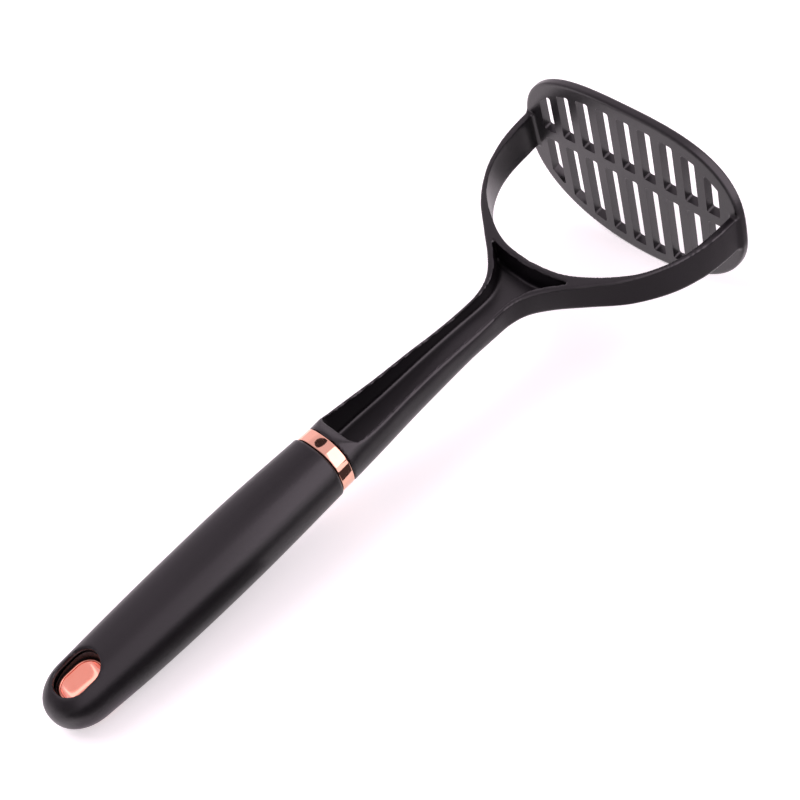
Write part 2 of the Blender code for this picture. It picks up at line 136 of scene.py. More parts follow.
def skinOfField(name, field, low, high, cell, rounds=3):
    coarse = 5
    counts = [int(math.ceil((h - l) / cell / coarse)) * coarse for l, h in zip(low, high)]
    axes = [l + cell * np.arange(n + 1) for l, n in zip(low, counts)]
    blocks = [n // coarse for n in counts]
    middles = [l + cell * coarse * (np.arange(n) + 0.5) for l, n in zip(low, blocks)]
    centres = np.stack(np.meshgrid(*middles, indexing='ij'), -1).reshape(-1, 3)
    atCentres = field(*centres.T).reshape(blocks)
    values = np.ones([n + 1 for n in counts], np.float32)
    values[:-1, :-1, :-1] = np.repeat(np.repeat(np.repeat(atCentres, coarse, 0), coarse, 1), coarse, 2)
    needed = np.zeros(values.shape, bool)
    for block in np.argwhere(np.abs(atCentres) < cell * coarse * 1.6):  # blocks that the surface may reach
        needed[tuple(slice(b * coarse, (b + 1) * coarse + 1) for b in block)] = True
    ix, iy, iz = np.nonzero(needed)
    values[ix, iy, iz] = field(axes[0][ix], axes[1][iy], axes[2][iz])

    # where only the diagonal corners of a grid face agree, the skin would pinch,
    # so the corner nearest the surface changes side
    for mend in range(4):
        for way in range(3):
            u, v = [w for w in range(3) if w != way]
            views = []
            for du, dv in ((0, 0), (1, 0), (1, 1), (0, 1)):
                part = [slice(None)] * 3
                part[u] = slice(du, values.shape[u] - 1 + du)
                part[v] = slice(dv, values.shape[v] - 1 + dv)
                views.append(values[tuple(part)])
            inside = [view < 0 for view in views]
            spots = np.nonzero((inside[0] == inside[2]) & (inside[1] == inside[3]) & (inside[0] != inside[1]))
            weakest = np.argmin([np.abs(view[spots]) for view in views], 0)
            for corner, view in enumerate(views):
                chosen = tuple(axis[weakest == corner] for axis in spots)
                view[chosen] = np.where(view[chosen] < 0, 1, -1) * cell * 0.01
    solid = values < 0

    # one point in each cell that the surface crosses, at the middle of its crossings
    cellShape = tuple(counts)
    total = np.zeros((*cellShape, 3), np.float32)
    hits = np.zeros(cellShape, np.float32)
    corners = [(i, j, k) for i in (0, 1) for j in (0, 1) for k in (0, 1)]

    def shifted(array, offset):
        return array[offset[0]:offset[0] + cellShape[0], offset[1]:offset[1] + cellShape[1],
                     offset[2]:offset[2] + cellShape[2]]

    for start in corners:
        for way in range(3):
            if start[way] == 1:
                continue
            end = tuple(1 if w == way else start[w] for w in range(3))
            a, b = shifted(values, start), shifted(values, end)
            crossed = shifted(solid, start) != shifted(solid, end)
            where = np.nonzero(crossed)
            part = a[where] / (a[where] - b[where])
            for w in range(3):
                total[(*where, w)] += start[w] + (part if w == way else 0)
            hits[where] += 1
    active = np.nonzero(hits > 0)
    points = total[active] / hits[active][:, None]
    points = (np.stack(active, -1) + points) * cell + np.array(low)
    index = np.full(cellShape, -1, np.int64)
    index[active] = np.arange(len(points))

    # one quad around each grid edge that the surface crosses
    quads = []
    for way in range(3):
        u, v = [w for w in range(3) if w != way]
        lowSlice = tuple(slice(1, -1) if w != way else slice(0, -1) for w in range(3))
        highSlice = tuple(slice(1, -1) if w != way else slice(1, None) for w in range(3))
        startsIn = solid[lowSlice]
        crossed = startsIn != solid[highSlice]
        spots = np.argwhere(crossed)
        flip = startsIn[tuple(spots.T)]
        spots = spots + np.array([0 if w == way else 1 for w in range(3)])
        ring = []
        for du, dv in ((1, 1), (0, 1), (0, 0), (1, 0)):
            at = spots.copy()
            at[:, u] -= du
            at[:, v] -= dv
            ring.append(index[tuple(at.T)])
        ring = np.stack(ring, -1)
        turn = flip if way != 1 else ~flip
        ring[~turn] = ring[~turn][:, ::-1]
        quads.append(ring)
    quads = np.concatenate(quads)

    # even the points out along the surface, then settle them on it
    edges = np.concatenate([quads[:, [0, 1]], quads[:, [1, 2]], quads[:, [2, 3]], quads[:, [3, 0]]])
    count = np.bincount(edges.ravel(), minlength=len(points))[:, None]
    small = cell * 0.2

    def slopeOf(p):
        parts = []
        for w in range(3):
            step = np.zeros(3)
            step[w] = small
            ahead, behind = (p + step).T, (p - step).T
            parts.append((field(*ahead) - field(*behind)) / (2 * small))
        return np.stack(parts, -1)

    for turnRound in range(rounds):
        drawn = np.zeros_like(points)
        for w in range(3):
            drawn[:, w] = (np.bincount(edges[:, 0], points[edges[:, 1], w], len(points))
                           + np.bincount(edges[:, 1], points[edges[:, 0], w], len(points)))
        pull = drawn / count - points
        slope = slopeOf(points)
        size = np.maximum((slope ** 2).sum(1, keepdims=True), 0.05)
        pull -= slope * (pull * slope).sum(1, keepdims=True) / size
        points = points + 0.5 * pull
        for settle in range(2):
            distance = field(*points.T)[:, None]
            points = points - np.clip(distance / size, -0.5 * cell, 0.5 * cell) * slope
    mesh = bpy.data.meshes.new(name)
    mesh.from_pydata(points.tolist(), [], quads.tolist())
    mesh.update()
    return mesh


def newPiece(name, mesh):
    piece = bpy.data.objects.new(name, mesh)
    bpy.context.scene.collection.objects.link(piece)
    return piece


# Materials.

def linearColour(hexText):  # sRGB hex to linear
    parts = [int(hexText[i:i + 2], 16) / 255 for i in (1, 3, 5)]
    return (*[c / 12.92 if c <= 0.04045 else ((c + 0.055) / 1.055) ** 2.4 for c in parts], 1)


def addNode(tree, kind, settings=None, links=None):  # a socket that takes several links is given a list
    node = tree.nodes.new(kind)
    for key, value in (settings or {}).items():
        if isinstance(key, str) and hasattr(node, key) and key not in node.inputs:
            setattr(node, key, value)
        else:
            node.inputs[key].default_value = value
    for key, sources in (links or {}).items():
        for source in sources if isinstance(sources, list) else [sources]:
            tree.links.new(source, node.inputs[key])
    return node


def newMaterial(name):
    material = bpy.data.materials.new(name)
    material.use_nodes = True
    tree = material.node_tree
    tree.nodes.clear()
    out = addNode(tree, "ShaderNodeOutputMaterial")
    place = addNode(tree, "ShaderNodeTexCoord").outputs["Object"]
    return material, tree, out, place


def makeMouldedPlastic(name, finish):
    material, tree, out, place = newMaterial(name)
    grain = addNode(tree, "ShaderNodeTexNoise", {"Scale": 1 / (finish["grain"] * mm), "Detail": 3,
                                                 "Roughness": 0.6}, {"Vector": place})
    cloud = addNode(tree, "ShaderNodeTexNoise", {"Scale": 1 / (finish["cloud"] * mm), "Detail": 4},
                    {"Vector": place})
    colour = addNode(tree, "ShaderNodeMix", {"data_type": 'RGBA', 6: linearColour(finish["dark"]),
                                             7: linearColour(finish["light"])}, {0: cloud.outputs["Fac"]})
    sheen = addNode(tree, "ShaderNodeMapRange", {"To Min": finish["smooth"], "To Max": finish["rough"]},
                    {"Value": cloud.outputs["Fac"]})
    fine = addNode(tree, "ShaderNodeMath", {"operation": 'MULTIPLY_ADD', 1: finish["grainSheen"]},
                   {0: grain.outputs["Fac"], 2: sheen.outputs["Result"]})
    bump = addNode(tree, "ShaderNodeBump", {"Strength": finish["bump"], "Distance": finish["depth"] * mm},
                   {"Height": grain.outputs["Fac"]})
    shader = addNode(tree, "ShaderNodeBsdfPrincipled", {"IOR": finish["ior"]},
                     {"Base Color": colour.outputs[2], "Roughness": fine.outputs[0],
                      "Normal": bump.outputs[0]})
    tree.links.new(shader.outputs[0], out.inputs["Surface"])
    return material


# Black polyamide, injection moulded in a spark-eroded tool: near black, satin, with a fine even grain.
# The real grains of all three plastics are finer, and are drawn this coarse so that they show.
nylonFinish = {"dark": "#080609", "light": "#0e0a0f", "smooth": 0.25, "rough": 0.31, "grainSheen": 0.10,
               "grain": 0.7, "cloud": 14, "bump": 0.5, "depth": 0.05, "ior": 1.53}
# Thermoplastic rubber with a soft-touch skin: matt, slightly greyer, with a dry fine grain.
softTouchFinish = {"dark": "#0b090c", "light": "#120e13", "smooth": 0.28, "rough": 0.34, "grainSheen": 0.12,
                   "grain": 0.8, "cloud": 18, "bump": 0.6, "depth": 0.06, "ior": 1.50}
# Black polypropylene, moulded smooth; only the hole's inner wall shows.
coreFinish = {"dark": "#1c1a1b", "light": "#242122", "smooth": 0.42, "rough": 0.52, "grainSheen": 0.05,
              "grain": 0.5, "cloud": 10, "bump": 0.15, "depth": 0.04, "ior": 1.49}

mouldedNylon = makeMouldedPlastic("mouldedNylon", nylonFinish)
softTouchRubber = makeMouldedPlastic("softTouchRubber", softTouchFinish)
mouldedPolypropylene = makeMouldedPlastic("mouldedPolypropylene", coreFinish)

# Copper-rich vacuum plating over polished plastic: a mirror with a salmon cast and faint polishing haze.
# Its hairlines are drawn wider than real ones, for the same reason.
collarFinish = {"deep": "#f3b59c", "pale": "#f8c3ac", "smooth": 0.04, "rough": 0.09, "haze": 4.0,
                "hairline": 0.25, "hairlineStretch": 12, "bump": 0.04, "depth": 0.01}
# The liner is the collar's plating, and it is a little hazier. Its colour is painted redder and deeper:
# painted shade and painted copper-on-copper reflection for its place deep in the hole.
linerFinishPaintedShade = {"deep": "#f39c84", "pale": "#f7a890", "smooth": 0.10, "rough": 0.18, "haze": 4.0,
               "hairline": 0.25, "hairlineStretch": 12, "bump": 0.04, "depth": 0.01}


def makePlating(name, plating):
    material, tree, out, place = newMaterial(name)
    haze = addNode(tree, "ShaderNodeTexNoise", {"Scale": 1 / (plating["haze"] * mm), "Detail": 4},
                   {"Vector": place})
    across = plating["hairlineStretch"]
    stretch = addNode(tree, "ShaderNodeMapping", {"Scale": (1, across, across)}, {"Vector": place})
    hairline = addNode(tree, "ShaderNodeTexNoise", {"Scale": 1 / (plating["hairline"] * across * mm),
                                                    "Detail": 2}, {"Vector": stretch.outputs[0]})
    colour = addNode(tree, "ShaderNodeMix", {"data_type": 'RGBA', 6: linearColour(plating["deep"]),
                                             7: linearColour(plating["pale"])}, {0: haze.outputs["Fac"]})
    sheen = addNode(tree, "ShaderNodeMapRange", {"To Min": plating["smooth"], "To Max": plating["rough"]},
                    {"Value": haze.outputs["Fac"]})
    bump = addNode(tree, "ShaderNodeBump", {"Strength": plating["bump"], "Distance": plating["depth"] * mm},
                   {"Height": hairline.outputs["Fac"]})
    shader = addNode(tree, "ShaderNodeBsdfPrincipled", {"Metallic": 1.0},
                     {"Base Color": colour.outputs[2], "Roughness": sheen.outputs["Result"],
                      "Normal": bump.outputs[0]})
    tree.links.new(shader.outputs[0], out.inputs["Surface"])
    return material


roseGoldPlating = makePlating("roseGoldPlating", collarFinish)
# the liner's copy of the plating, with painted shade and painted reflection in its colour
roseGoldLiningPaintedShade = makePlating("roseGoldLiningPaintedShade", linerFinishPaintedShade)

# Head: hoop, channelled stem and slotted plate, one nylon moulding.

head = {
    "cell": 0.6,
    "plateX": 280.0,
    "plateThickness": 3.6,
    "halfLength": 50.85,
    "topHeight": 37.4,
    "bottomHeight": 36.75,
    "centreZ": -4.5,
    "topPower": 2.95,
    "bottomPower": 2.15,
    "edgeRadius": 0.9,
    "stemStart": 125.9,
    "blendFrom": 186.0,
    "blendTo": 208.0,
    "channelStart": 130.5,
    "wall": 1.5,
    "outer": [(182, 7.1), (190, 6.8), (198, 6.6), (206, 6.9), (213, 9.3), (220, 15.2), (228, 24.3),
              (238, 35.2), (250, 43.4), (262, 47.8), (272, 49.4), (282, 49.8)],
    "inner": [(226.2, 0), (227.7, 12.5), (232.4, 23.3), (241, 34.9), (251, 42.0), (262, 45.6), (276, 46.8)],
    "pocketSide": [(190, 5.3), (204, 5.3), (211, 6.3), (217.5, 9.6), (222.3, 14.4), (225.2, 17.6)],
    "pocketFront": [(226.3, 17.6), (224.9, 10.5), (223.9, 0)],
    "topLine": [(120, 14), (126.5, 10.7), (130.5, 8.4), (135, 6.3), (150, 5.0), (170, 4.0), (186, 2.6),
                (200, 2.0), (212, 2.7), (226, 4.0), (250, 5.6), (284, 7.1)],
    "bottomLine": [(176, -8.9), (190, -8.4), (198, -8.1), (212, -7.8), (226, -7.9), (240, -8.7),
                   (262, -9.3), (284, -8.9)],
    "floorLine": [(126, -5.4), (140, -4.6), (152, -3.8), (166, -2.9), (180, -2.4), (192, -2.5),
                  (205, -3.3), (214, -4.0), (230, -4.8)],
    "pocketStepX": 222.2,
    "pocketStep": 1.3,
    "channelCorner": 2.6,  # round corners of the channel, seen from above
    "draft": 0.02,  # lean of the moulded walls, mm in each mm
    "stemEdge": 0.35,  # roundings and fillets, from here down to tangEndEdge
    "hoopBottomEdge": 1.6,
    "openingEdge": 0.6,
    "topEdge": 0.45,
    "plateFillet": 1.3,
    "floorFillet": 1.2,
    "channelEdge": 0.35,
    "tangEdge": 1.2,
    "tangEndEdge": 0.6,
    "stemWidth": [(120, 10.4), (125.9, 10.4), (142, 9.5), (156, 8.3), (170, 7.6), (185, 7.0), (206, 6.6)],
    "stemHeight": [(120, 10.7), (125.9, 10.7), (142, 9.0), (156, 8.2), (170, 7.3), (185, 6.1), (206, 5.0)],
    "stemCentre": [(120, -0.1), (125.9, -0.1), (142, -1.0), (156, -1.5), (170, -1.9), (185, -2.5),
                   (206, -3.0)],
    "upperPower": [(120, 2.7), (125.9, 2.7), (134, 4.0), (150, 5.0), (206, 6.0)],
    "lowerPower": [(120, 2.7), (125.9, 2.7), (150, 2.8), (185, 3.2), (206, 4.0)],
    "tangStart": 78.0,
    "tangLength": 52.0,
    "tangHalfWidth": 5.5,
    "tangHalfHeight": 4.5,
}


def makeHeadField():
    topAt, bottomAt, floorAt = (softLine(head[key]) for key in ("topLine", "bottomLine", "floorLine"))
    widthAt, heightAt, centreAt = (softLine(head[key]) for key in ("stemWidth", "stemHeight", "stemCentre"))
    upperAt, lowerAt = softLine(head["upperPower"]), softLine(head["lowerPower"])
    axisEnd = np.array([[282, 0]])
    outerSide = np.concatenate([[[182, 0]], softCurve(head["outer"]), axisEnd])
    openSide = np.concatenate([softCurve(head["inner"]), [[290, 47.2], [290, 0]]])
    outerPlan = planField(outerSide, (176, 0), (292, 60))
    openPlan = planField(openSide, (180, 0), (292, 60))
    near = head["channelStart"]
    nearCorner = head["channelCorner"]

    def channelHalf(x):
        return float(widthAt(x)) - head["wall"]

    corner = [(near, 0), (near, channelHalf(near) - nearCorner - 0.2)]
    for degrees in (25, 50, 75):
        turn = math.radians(degrees)
        corner.append((near + nearCorner * (1 - math.cos(turn)),
                       channelHalf(near) - nearCorner * (1 - math.sin(turn)) - 0.1))
    channel = corner + [(x, channelHalf(x)) for x in np.arange(near + nearCorner + 1, 186, 4)]
    pocket = [softCurve(head["pocketSide"]), softCurve(head["pocketFront"])]
    hollow = np.concatenate([np.array(channel), *pocket])
    hollowPlan = planField(hollow, (126, 0), (232, 26), 0.2)

    def plateField(x, y, z):
        rise = z - head["centreZ"]
        above = rise > 0
        height = np.where(above, head["topHeight"], head["bottomHeight"])
        power = np.where(above, head["topPower"], head["bottomPower"])
        border = bulgedSection(y, rise, head["halfLength"], height, power)
        half = head["plateThickness"] / 2
        return roundedBoth(border, np.abs(x - head["plateX"] - half) - half, head["edgeRadius"])

    def stemField(x, y, z):
        rise = z - centreAt(x)
        power = np.where(rise > 0, upperAt(x), lowerAt(x))
        body = bulgedSection(y, rise, widthAt(x), heightAt(x), power)
        return roundedBoth(body, head["stemStart"] - x, head["stemEdge"])

    def headField(x, y, z):
        leaning = head["draft"] * (topAt(x) - z)
        hoop = roundedBoth(outerPlan(x, y), bottomAt(x) - z, head["hoopBottomEdge"])
        share = np.clip((x - head["blendFrom"]) / (head["blendTo"] - head["blendFrom"]), 0, 1)
        share = share * share * (3 - 2 * share)
        stem = stemField(x, y, z) * (1 - share) + hoop * share
        body = roundedBoth(stem, -(openPlan(x, y) + leaning), head["openingEdge"])
        body = roundedBoth(body, (z - topAt(x)) * 0.97, head["topEdge"])  # the top slopes a little
        shape = filletedEither(body, plateField(x, y, z), head["plateFillet"])
        floor = floorAt(x) - np.where(x > head["pocketStepX"], head["pocketStep"], 0) - z
        hollow = roundedBoth(hollowPlan(x, y) + leaning, floor, head["floorFillet"])
        shape = carvedFrom(shape, hollow, head["channelEdge"])
        tang = roundedBoth(np.abs(y) - head["tangHalfWidth"], np.abs(z) - head["tangHalfHeight"],
                           head["tangEdge"])
        half = head["tangLength"] / 2
        tang = roundedBoth(tang, np.abs(x - head["tangStart"] - half) - half, head["tangEndEdge"])
        return np.minimum(shape, tang)

    return headField


headMesh = skinOfField("masherHead", makeHeadField(), (76, -52.4, -43.4), (285.2, 52.4, 33.5), head["cell"])
masherHead = newPiece("masherHead", headMesh)
print("head skin:", len(headMesh.vertices), "points")


# The plate's slots: a rule for one slot, repeated over two rows of columns.

slots = {
    "Columns": 9,
    "Pitch": 9.7,
    "Slot Width": 5.9,
    "Bar Half Height": 2.2,  # the bar between the two rows
    "Corner Radius": 0.9,
    "Field Half Length": 46.5,  # the slots end on an inner outline
    "Field Top": 31.8,
    "Field Bottom": 31.6,
    "Field Centre": head["centreZ"],
    "Top Power": 2.95,
    "Bottom Power": 2.15,
    "Cut Start": head["plateX"] - 0.8,
    "Cut Depth": head["plateThickness"] + 1.6,
}


def makeSlotTree(material):
    tree = bpy.data.node_groups.new("slotRows", "GeometryNodeTree")
    face = tree.interface
    face.new_socket("Geometry", in_out='INPUT', socket_type='NodeSocketGeometry')
    for label, value in slots.items():
        kind = 'NodeSocketInt' if isinstance(value, int) else 'NodeSocketFloat'
        face.new_socket(label, in_out='INPUT', socket_type=kind)
    face.new_socket("Geometry", in_out='OUTPUT', socket_type='NodeSocketGeometry')
    given = addNode(tree, "NodeGroupInput").outputs
    corner = addNode(tree, "GeometryNodeInputNamedAttribute", {"data_type": 'FLOAT_VECTOR', "Name": "corner"})
    cornerParts = addNode(tree, "ShaderNodeSeparateXYZ", None, {"Vector": corner.outputs[0]}).outputs
    known = {label: given[label] for label in ("Geometry", *slots)}
    known.update(cornerAcross=cornerParts[0], cornerUp=cornerParts[1])
    maths, mix, store = "ShaderNodeMath", "ShaderNodeMix", "GeometryNodeStoreNamedAttribute"
    steps = [  # name, kind of node, settings, and what each socket is linked to
        # one point for each slot: its column, and whether its row is above (+1) or below (-1) the bar
        ("count", maths, {"operation": 'MULTIPLY', 1: 2}, {0: "Columns"}),
        ("line", "GeometryNodeMeshLine", {}, {"Count": "count"}),
        ("order", "GeometryNodeInputIndex", {}, {}),
        ("columnNumber", maths, {"operation": 'MODULO'}, {0: "order", 1: "Columns"}),
        ("gaps", maths, {"operation": 'SUBTRACT', 1: 1}, {0: "Columns"}),
        ("middle", maths, {"operation": 'MULTIPLY', 1: 0.5}, {0: "gaps"}),
        ("column", maths, {"operation": 'SUBTRACT'}, {0: "columnNumber", 1: "middle"}),
        ("turns", maths, {"operation": 'DIVIDE'}, {0: "order", 1: "Columns"}),
        ("rowNumber", maths, {"operation": 'FLOOR'}, {0: "turns"}),
        ("twice", maths, {"operation": 'MULTIPLY', 1: 2}, {0: "rowNumber"}),
        ("row", maths, {"operation": 'SUBTRACT', 0: 1}, {1: "twice"}),
        ("withColumn", store, {"Name": "column"}, {"Geometry": "line", "Value": "column"}),
        ("withRow", store, {"Name": "row"}, {"Geometry": "withColumn", "Value": "row"}),
        ("square", "GeometryNodeCurvePrimitiveQuadrilateral", {"Width": 1.0, "Height": 1.0}, {}),
        ("place", "GeometryNodeInputPosition", {}, {}),
        ("withCorner", store, {"data_type": 'FLOAT_VECTOR', "Name": "corner"},
         {"Geometry": "square", "Value": "place"}),
        ("placed", "GeometryNodeInstanceOnPoints", {}, {"Points": "withRow", "Instance": "withCorner"}),
        ("outlines", "GeometryNodeRealizeInstances", {}, {0: "placed"}),
        # each corner goes to its place: along the column, between the bar and the inner outline
        ("side", "GeometryNodeInputNamedAttribute", {"data_type": 'FLOAT', "Name": "row"}, {}),
        ("ownColumn", "GeometryNodeInputNamedAttribute", {"data_type": 'FLOAT', "Name": "column"}, {}),
        ("columnPlace", maths, {"operation": 'MULTIPLY'}, {0: "ownColumn", 1: "Pitch"}),
        ("inSlot", maths, {"operation": 'MULTIPLY'}, {0: "cornerAcross", 1: "Slot Width"}),
        ("across", maths, {"operation": 'ADD'}, {0: "columnPlace", 1: "inSlot"}),
        ("isUpper", maths, {"operation": 'GREATER_THAN', 1: 0}, {0: "side"}),
        ("power", mix, {}, {0: "isUpper", 2: "Bottom Power", 3: "Top Power"}),
        ("reach", mix, {}, {0: "isUpper", 2: "Field Bottom", 3: "Field Top"}),
        ("distance", maths, {"operation": 'ABSOLUTE'}, {0: "across"}),
        ("part", maths, {"operation": 'DIVIDE'}, {0: "distance", 1: "Field Half Length"}),
        ("share", maths, {"operation": 'POWER'}, {0: "part", 1: "power"}),
        ("rest", maths, {"operation": 'SUBTRACT', 0: 1}, {1: "share"}),
        ("root", maths, {"operation": 'DIVIDE', 0: 1}, {1: "power"}),
        ("bulge", maths, {"operation": 'POWER'}, {0: "rest", 1: "root"}),
        ("reachSide", maths, {"operation": 'MULTIPLY'}, {0: "reach", 1: "side"}),
        ("rise", maths, {"operation": 'MULTIPLY'}, {0: "reachSide", 1: "bulge"}),
        ("farEdge", maths, {"operation": 'ADD'}, {0: "Field Centre", 1: "rise"}),
        ("nearEdge", maths, {"operation": 'MULTIPLY'}, {0: "Bar Half Height", 1: "side"}),
        ("outward", maths, {"operation": 'ADD', 1: 0.5}, {0: "cornerUp"}),
        ("height", mix, {}, {0: "outward", 2: "nearEdge", 3: "farEdge"}),
        ("spot", "ShaderNodeCombineXYZ", {}, {0: "across", 1: "height"}),
        ("moved", "GeometryNodeSetPosition", {}, {"Geometry": "outlines", "Position": "spot"}),
        ("softened", "GeometryNodeFilletCurve", {"mode": 'POLY', "Count": 4},
         {0: "moved", "Radius": "Corner Radius"}),
        # the outlines become prisms that run right through the plate
        ("filled", "GeometryNodeFillCurve", {}, {0: "softened"}),
        ("pulled", "GeometryNodeExtrudeMesh", {"Individual": False},
         {"Mesh": "filled", "Offset Scale": "Cut Depth"}),
        ("bases", "GeometryNodeFlipFaces", {}, {"Mesh": "filled"}),
        ("both", "GeometryNodeJoinGeometry", {}, {0: ["pulled", "bases"]}),
        ("closed", "GeometryNodeMergeByDistance", {"Distance": 0.001}, {0: "both"}),
        ("start", "ShaderNodeCombineXYZ", {}, {0: "Cut Start"}),
        ("cutters", "GeometryNodeTransform", {"Rotation": (math.pi / 2, 0, math.pi / 2)},
         {"Geometry": "closed", "Translation": "start"}),
        ("cut", "GeometryNodeMeshBoolean", {"operation": 'DIFFERENCE'},
         {"Mesh 1": "Geometry", "Mesh 2": "cutters"}),
        ("whole", "GeometryNodeRealizeInstances", {}, {0: "cut"}),
        ("coated", "GeometryNodeSetMaterial", {"Material": material}, {"Geometry": "whole"}),
        ("out", "NodeGroupOutput", {}, {0: "coated"}),
    ]
    for name, kind, settings, links in steps:
        sources = {socket: [known[one] for one in source] if isinstance(source, list) else known[source]
                   for socket, source in links.items()}
        node = addNode(tree, kind, settings, sources)
        known[name] = node.outputs[0] if node.outputs else None
    return tree


def applyTree(piece, tree, values):  # runs a tree on a piece and leaves a plain mesh
    modifier = piece.modifiers.new("rule", 'NODES')
    modifier.node_group = tree
    for socket in tree.interface.items_tree:
        if socket.in_out == 'INPUT' and socket.name in values:
            modifier[socket.identifier] = values[socket.name]
    bpy.context.view_layer.update()
    result = bpy.data.meshes.new_from_object(piece.evaluated_get(bpy.context.evaluated_depsgraph_get()))
    piece.modifiers.remove(modifier)
    piece.data = result
    for label in ("column", "row", "corner"):  # what the tree stored for its own use
        if label in result.attributes:
            result.attributes.remove(result.attributes[label])


applyTree(masherHead, makeSlotTree(mouldedNylon), slots)
masherHead.data.transform(toolToWorld)
print("slots cut:", len(masherHead.data.polygons), "faces")


# Grip sleeve with the hanging hole through it.

grip = {
    "cell": 0.7,
    "length": 119.9,
    "wall": 2.0,
    "endRound": 14.0,
    "endPower": 2.2,
    "power": 2.6,
    "holeCentre": 14.8,
    "holeHalfLength": 8.6,
    "holeHalfWidth": 6.4,
    "holeLip": 0.9,
    "start": 0.15,
    "width": [(0, 10.3), (15, 10.7), (35, 11.5), (60, 12.0), (88, 12.0), (120, 11.1)],
    "height": [(0, 9.6), (15, 10.4), (35, 11.4), (60, 12.0), (88, 12.1), (120, 11.3)],
    "centre": [(0, -0.8), (15, -1.1), (35, -1.2), (60, -0.9), (90, -0.3), (120, 0.0)],
}


def holeField(x, y):  # distance to the round-ended hanging hole, seen from above
    straight = grip["holeHalfLength"] - grip["holeHalfWidth"]
    return np.hypot(np.maximum(np.abs(x - grip["holeCentre"]) - straight, 0), y) - grip["holeHalfWidth"]


def makeGripField():
    widthAt, heightAt, centreAt = (softLine(grip[key]) for key in ("width", "height", "centre"))

    def gripField(x, y, z):
        across = np.abs(y) / widthAt(x)
        upward = np.abs(z - centreAt(x)) / heightAt(x)
        section = (across ** grip["power"] + upward ** grip["power"]) ** (1 / grip["power"])
        ending = np.maximum(grip["endRound"] + grip["start"] - x, 0) / grip["endRound"]
        level = (ending ** grip["endPower"] + section ** grip["endPower"]) ** (1 / grip["endPower"])
        body = (level - 1) * widthAt(x)
        outside = roundedBoth(body, x - grip["length"], 0.8)
        shell = np.maximum(outside, -(body + grip["wall"]))
        return carvedFrom(shell, holeField(x, y), grip["holeLip"])

    return gripField


gripMesh = skinOfField("gripSleeve", makeGripField(), (-1.0, -13.2, -14.2), (121, 13.2, 13.2), grip["cell"])
gripMesh.transform(toolToWorld)
gripSleeve = newPiece("gripSleeve", gripMesh)
print("grip skin:", len(gripMesh.vertices), "points")


# Liner of the hanging hole.

liner = {
    "cell": 0.3,
    "gap": 0.3,
    "wall": 1.0,
    "top": 3.4,
    "bottom": -9.5,
    "edge": 0.35,
}


def linerField(x, y, z):
    halfWall = liner["wall"] / 2
    ring = np.abs(holeField(x, y) + liner["gap"] + halfWall) - halfWall
    middle, half = (liner["top"] + liner["bottom"]) / 2, (liner["top"] - liner["bottom"]) / 2
    return roundedBoth(ring, np.abs(z - middle) - half, liner["edge"])


linerMesh = skinOfField("holeLiner", linerField, (5, -7.5, -10.5), (24.6, 7.5, 4.5), liner["cell"])
linerMesh.transform(toolToWorld)
holeLiner = newPiece("holeLiner", linerMesh)
print("liner skin:", len(linerMesh.vertices), "points")


# Collar: a plated ring with softened edges.

collar = {
    "start": 120.2,
    "end": 125.6,
    "halfWidth": 10.6,
    "halfHeight": 10.9,
    "power": 2.6,
    "bore": 9.3,
    "edge": 0.5,
    "edgeSteps": 5,
    "around": 192,
}


def makeCollar():
    edge, steps = collar["edge"], collar["edgeSteps"]
    turns = [math.radians(90 * i / steps) for i in range(steps + 1)]
    # each point is its place along the tool, and how far in it is from the outer face
    near = [(collar["start"] + edge * (1 - math.cos(turn)), edge * (1 - math.sin(turn))) for turn in turns]
    far = [(collar["end"] - (x - collar["start"]), inset) for x, inset in reversed(near)]
    outline = near + far
    body = bmesh.new()
    rows = []
    for x, inset in outline + [(collar["end"], None), (collar["start"], None)]:
        row = []
        for i in range(collar["around"]):
            turn = 2 * math.pi * i / collar["around"]
            c, s = math.cos(turn), math.sin(turn)
            halfWidth = collar["bore"] if inset is None else collar["halfWidth"] - inset
            halfHeight = collar["bore"] if inset is None else collar["halfHeight"] - inset
            row.append(body.verts.new((x, halfWidth * math.copysign(abs(c) ** (2 / collar["power"]), c),
                                       halfHeight * math.copysign(abs(s) ** (2 / collar["power"]), s))))
        rows.append(row)
    for a, b in zip(rows, rows[1:] + rows[:1]):
        for i in range(collar["around"]):
            j = (i + 1) % collar["around"]
            body.faces.new((a[i], a[j], b[j], b[i]))
    bmesh.ops.recalc_face_normals(body, faces=body.faces)
    mesh = bpy.data.meshes.new("collarRing")
    body.to_mesh(mesh)
    body.free()
    mesh.transform(toolToWorld)
    return newPiece("collarRing", mesh)


collarRing = makeCollar()

sharpFrom = math.radians(50)
for piece in (masherHead, gripSleeve, holeLiner, collarRing):
    piece.data.shade_smooth()
    piece.data.set_sharp_from_angle(angle=sharpFrom)
print("pieces made")

coverings = [(masherHead, "masher_head", mouldedNylon, "black_nylon"),
             (gripSleeve, "grip_sleeve", softTouchRubber, "soft_touch_black"),
             (holeLiner, "hanging_liner", roseGoldLiningPaintedShade, "rose_gold_plating"),
             (collarRing, "collar_ring", roseGoldPlating, "rose_gold_plating")]
for piece, node, material, slotName in coverings:
    piece.data.materials.clear()
    piece.data.materials.append(material)
    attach(piece, "root")
    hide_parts(node)
for coreSlot in frame["nodes"]["handle_core"].material_slots:
    coreSlot.material = mouldedPolypropylene
print("materials set")


# Table, light and camera.

studio = {
    "tableSize": 6.0,
    "tableColour": "#eeeeed",
    "tableGlowColour": "#fffbfd",
    "tableGlow": 0.5,
    "tint": (1.0, 0.86, 0.96),
    "sky": 0.85,  # the tent's glow: overall, low at the back, beyond the hanging end, low at the front
    "backWall": 1.05,
    "handleEnd": 0.35,
    "frontDark": 0.06,
    "lampPlace": (-0.35, 0.55, 0.85),
    "lampSize": 0.7,
    "lampPower": 6,
    "sensorWidth": 36,
    "lens": 80.15,
    "cameraPlace": (-0.2343, -0.3390, 0.4683),
    "cameraAim": (0.0090, -0.0066, 0.0320),
    "cameraRoll": -10.95,
}


